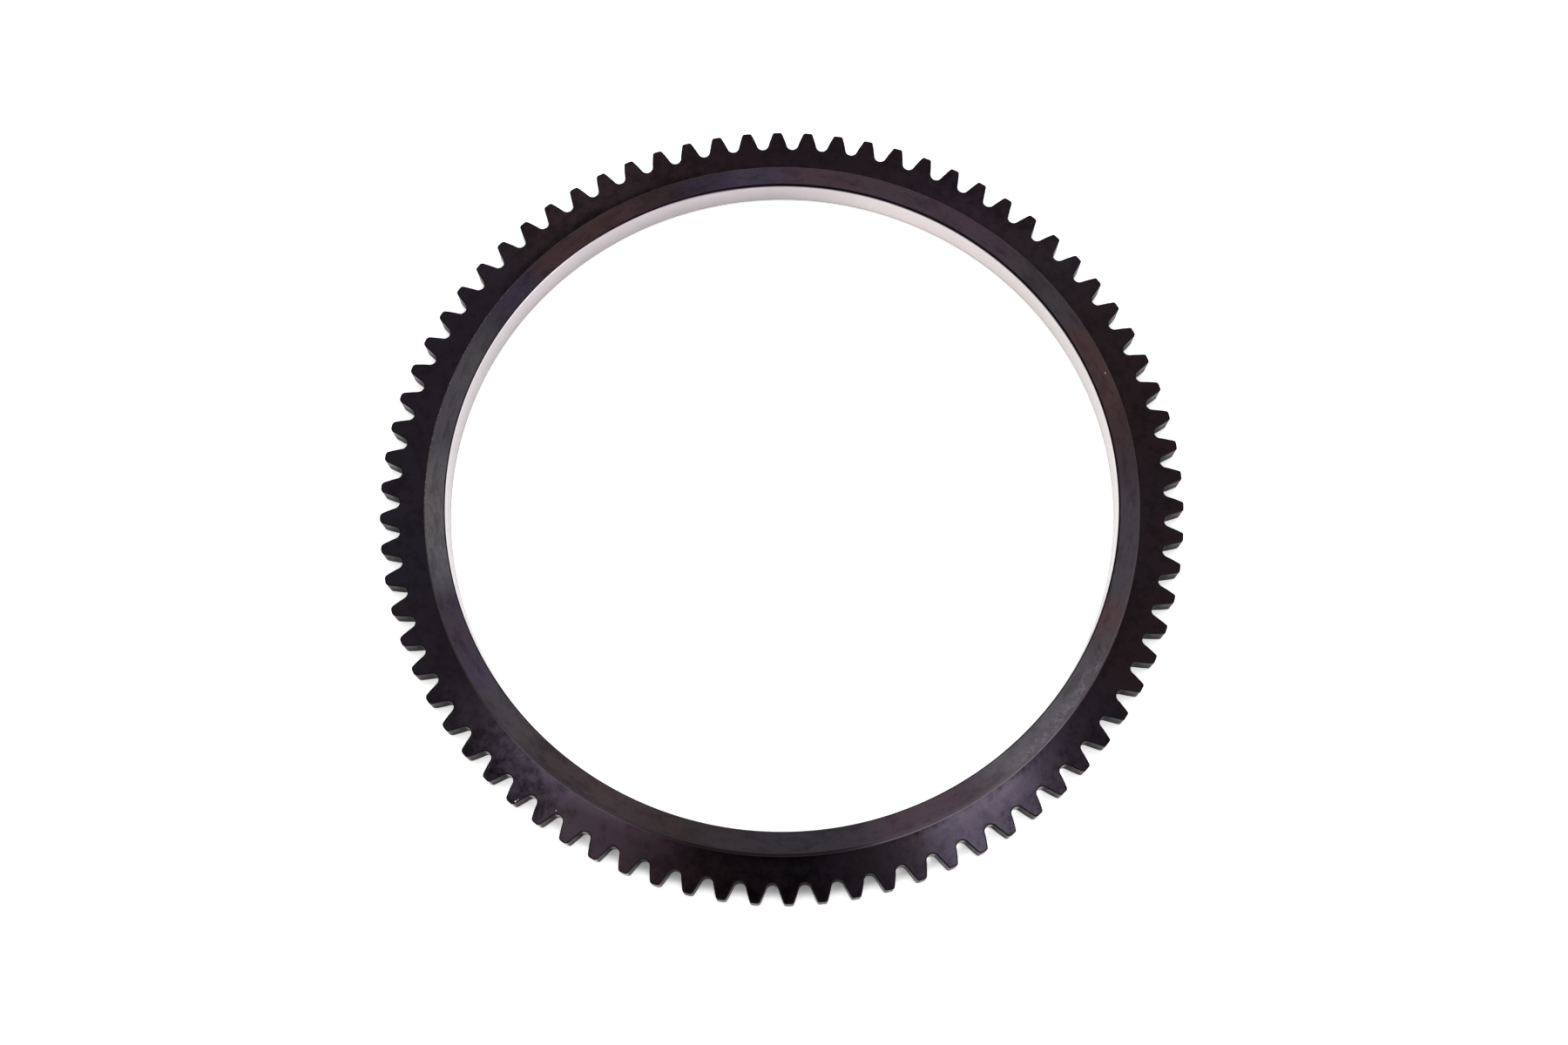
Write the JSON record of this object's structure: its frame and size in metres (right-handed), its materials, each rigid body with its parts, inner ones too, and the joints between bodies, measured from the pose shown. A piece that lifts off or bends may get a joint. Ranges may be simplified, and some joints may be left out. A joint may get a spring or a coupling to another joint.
{
  "type": "flywheel ring gear",
  "caption": "Flat blackened-steel ring gear with external stub teeth and a raised shoulder round a bright bore; it is shrunk onto a flywheel so that a starter pinion can turn the engine.",
  "frame": {"origin": "centre of the ring on the plane of its flat bottom face", "axes": "+Z along the bore axis, towards the raised shoulder; +Y through the middle of one tooth"},
  "size_m": [0.2022, 0.2024, 0.0095],
  "materials": {
    "blackened_steel": "black oxide with a faint purple-brown tint on the faces and the shoulder, satin grey on the tooth flanks, bright turned steel in the bore"
  },
  "bodies": {
    "root": {"ring_gear": "blackened_steel"}
  },
  "joints": []
}
